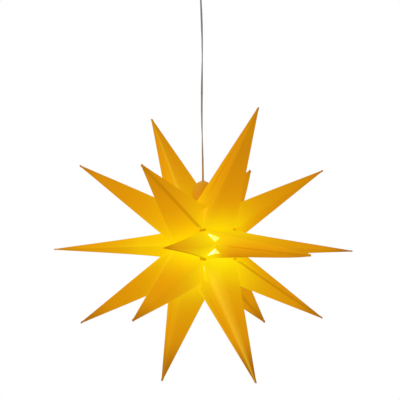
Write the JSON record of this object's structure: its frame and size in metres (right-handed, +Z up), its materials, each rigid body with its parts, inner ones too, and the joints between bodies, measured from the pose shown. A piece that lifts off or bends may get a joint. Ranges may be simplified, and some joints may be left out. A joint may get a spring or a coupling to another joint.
{
  "type": "hanging LED star lamp",
  "caption": "Three-dimensional star lamp of hollow translucent yellow plastic arms round a small LED lamp, hung by a clear cord from a ceiling hook.",
  "frame": {"origin": "on the ceiling, on the hook's axis, where its collar rests", "axes": "+Z up along the hook's shank; +Y along the star's own axis, towards its back pole; +X along the right-hand rim arm"},
  "size_m": [0.5602, 0.4302, 0.8286],
  "materials": {
    "shell_yellow": "thin translucent sheet plastic, satin, lit from inside",
    "rivet_yellow": "opaque moulded plastic, satin",
    "cap_yellow": "opaque moulded plastic, satin",
    "clear_pvc": "transparent flexible plastic over copper strands",
    "clip_clear": "transparent moulded plastic",
    "white_plastic": "white moulded plastic",
    "terminal_plastic": "natural moulded plastic",
    "black_plastic": "black moulded plastic, satin",
    "lead_insulation": "coloured wire insulation",
    "seal_rubber": "soft rubber",
    "board_white": "white coated metal-core board",
    "led_phosphor": "LED phosphor, glowing",
    "frosted_globe": "frosted diffuser, glowing warm white",
    "zinc_steel": "bright zinc plate",
    "nickel": "nickel plate"
  },
  "bodies": {
    "hook": {"ceiling_hook": "zinc_steel", "hook_collar": "zinc_steel"},
    "cord": {"hanging_cord": "clear_pvc", "cord_stopper": "nickel", "clip_front": "clip_clear", "clip_back": "clip_clear", "clip_screws": "zinc_steel", "connector_body": "black_plastic", "connector_barrel": "nickel", "connector_insulator": "black_plastic"},
    "star": {"segment_right": "shell_yellow", "segment_upper_right": "shell_yellow", "segment_upper_left": "shell_yellow", "segment_left": "shell_yellow", "segment_lower_left": "shell_yellow", "segment_lower_right": "shell_yellow", "corner_rivets_front": "rivet_yellow", "corner_rivets_back": "rivet_yellow", "pole_button_front": "rivet_yellow", "pole_button_back": "rivet_yellow", "top_cap": "cap_yellow", "cord_bush": "clear_pvc", "saddle_block": "white_plastic", "retaining_nut": "white_plastic", "holder_tube": "white_plastic", "terminal_block": "terminal_plastic", "terminal_screws": "zinc_steel", "inner_leads": "lead_insulation", "lamp_base": "white_plastic", "seal_ring": "seal_rubber", "led_board": "board_white", "led_chips": "led_phosphor", "lamp_globe": "frosted_globe"}
  },
  "joints": [
    {"name": "swing", "type": "hinge", "parent": "hook", "child": "cord", "pos_m": [0, 0, -0.03502], "axis": [1, 0, 0], "range_deg": [-35, 35]},
    {"name": "turn", "type": "hinge", "parent": "cord", "child": "star", "pos_m": [0, 0, -0.4485], "axis": [0, 0, 1], "range_deg": [-180, 180]}
  ]
}
